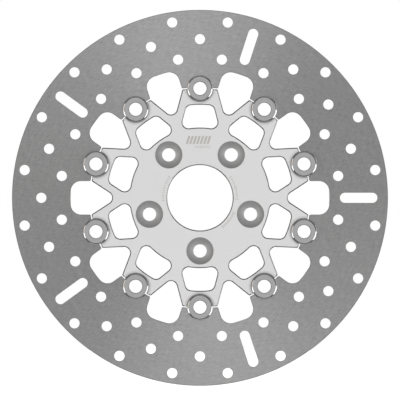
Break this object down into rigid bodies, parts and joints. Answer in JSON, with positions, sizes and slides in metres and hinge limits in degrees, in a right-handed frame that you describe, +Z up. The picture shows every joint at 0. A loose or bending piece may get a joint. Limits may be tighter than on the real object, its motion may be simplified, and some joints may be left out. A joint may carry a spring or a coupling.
{
  "type": "brake disc rotor",
  "caption": "Floating motorcycle brake disc: drilled and slotted steel friction ring carried by hollow drive buttons on a windowed hub carrier.",
  "frame": {"origin": "centre of the hub bore, on the carrier's hub-mounting face", "axes": "+Y along the wheel's axle, towards the hub; -Y is the outboard side with the button heads; +Z up, with one hub bolt straight below the axle"},
  "size_m": [0.2921, 0.0123, 0.292],
  "materials": {
    "ground_ring": "cross-ground",
    "satin_carrier": "satin",
    "button_steel": "turned",
    "washer_steel": "plain",
    "spring_steel": "tempered",
    "clip_steel": "phosphated"
  },
  "bodies": {
    "carrier": {"carrier": "satin_carrier"},
    "washers": {"thrust_washer_01": "washer_steel", "thrust_washer_02": "washer_steel", "thrust_washer_03": "washer_steel", "thrust_washer_04": "washer_steel", "thrust_washer_05": "washer_steel", "thrust_washer_06": "washer_steel", "thrust_washer_07": "washer_steel", "thrust_washer_08": "washer_steel", "thrust_washer_09": "washer_steel", "thrust_washer_10": "washer_steel", "wave_washer_01": "spring_steel", "wave_washer_02": "spring_steel", "wave_washer_03": "spring_steel", "wave_washer_04": "spring_steel", "wave_washer_05": "spring_steel", "wave_washer_06": "spring_steel", "wave_washer_07": "spring_steel", "wave_washer_08": "spring_steel", "wave_washer_09": "spring_steel", "wave_washer_10": "spring_steel"},
    "friction_ring": {"friction_ring": "ground_ring"},
    "button_01": {"bobbin_01": "button_steel", "circlip_01": "clip_steel"},
    "button_02": {"bobbin_02": "button_steel", "circlip_02": "clip_steel"},
    "button_03": {"bobbin_03": "button_steel", "circlip_03": "clip_steel"},
    "button_04": {"bobbin_04": "button_steel", "circlip_04": "clip_steel"},
    "button_05": {"bobbin_05": "button_steel", "circlip_05": "clip_steel"},
    "button_06": {"bobbin_06": "button_steel", "circlip_06": "clip_steel"},
    "button_07": {"bobbin_07": "button_steel", "circlip_07": "clip_steel"},
    "button_08": {"bobbin_08": "button_steel", "circlip_08": "clip_steel"},
    "button_09": {"bobbin_09": "button_steel", "circlip_09": "clip_steel"},
    "button_10": {"bobbin_10": "button_steel", "circlip_10": "clip_steel"}
  },
  "joints": [
    {"name": "axial_float", "type": "slide", "parent": "carrier", "child": "washers", "axis": [0, 1, 0], "range_m": [-0.00025, 0.00025]},
    {"name": "rotational_play", "type": "hinge", "parent": "washers", "child": "friction_ring", "pos_m": [0, -0.0033, 0], "axis": [0, 1, 0], "range_deg": [-0.1, 0.1]},
    {"name": "button_01_spin", "type": "hinge", "parent": "washers", "child": "button_01", "pos_m": [0.08084, -0.0033, 0.02627], "axis": [0, 1, 0], "continuous": true},
    {"name": "button_02_spin", "type": "hinge", "parent": "washers", "child": "button_02", "pos_m": [0.04996, -0.0033, 0.06877], "axis": [0, 1, 0], "continuous": true},
    {"name": "button_03_spin", "type": "hinge", "parent": "washers", "child": "button_03", "pos_m": [0, -0.0033, 0.085], "axis": [0, 1, 0], "continuous": true},
    {"name": "button_04_spin", "type": "hinge", "parent": "washers", "child": "button_04", "pos_m": [-0.04996, -0.0033, 0.06877], "axis": [0, 1, 0], "continuous": true},
    {"name": "button_05_spin", "type": "hinge", "parent": "washers", "child": "button_05", "pos_m": [-0.08084, -0.0033, 0.02627], "axis": [0, 1, 0], "continuous": true},
    {"name": "button_06_spin", "type": "hinge", "parent": "washers", "child": "button_06", "pos_m": [-0.08084, -0.0033, -0.02627], "axis": [0, 1, 0], "continuous": true},
    {"name": "button_07_spin", "type": "hinge", "parent": "washers", "child": "button_07", "pos_m": [-0.04996, -0.0033, -0.06877], "axis": [0, 1, 0], "continuous": true},
    {"name": "button_08_spin", "type": "hinge", "parent": "washers", "child": "button_08", "pos_m": [0, -0.0033, -0.085], "axis": [0, 1, 0], "continuous": true},
    {"name": "button_09_spin", "type": "hinge", "parent": "washers", "child": "button_09", "pos_m": [0.04996, -0.0033, -0.06877], "axis": [0, 1, 0], "continuous": true},
    {"name": "button_10_spin", "type": "hinge", "parent": "washers", "child": "button_10", "pos_m": [0.08084, -0.0033, -0.02627], "axis": [0, 1, 0], "continuous": true}
  ]
}
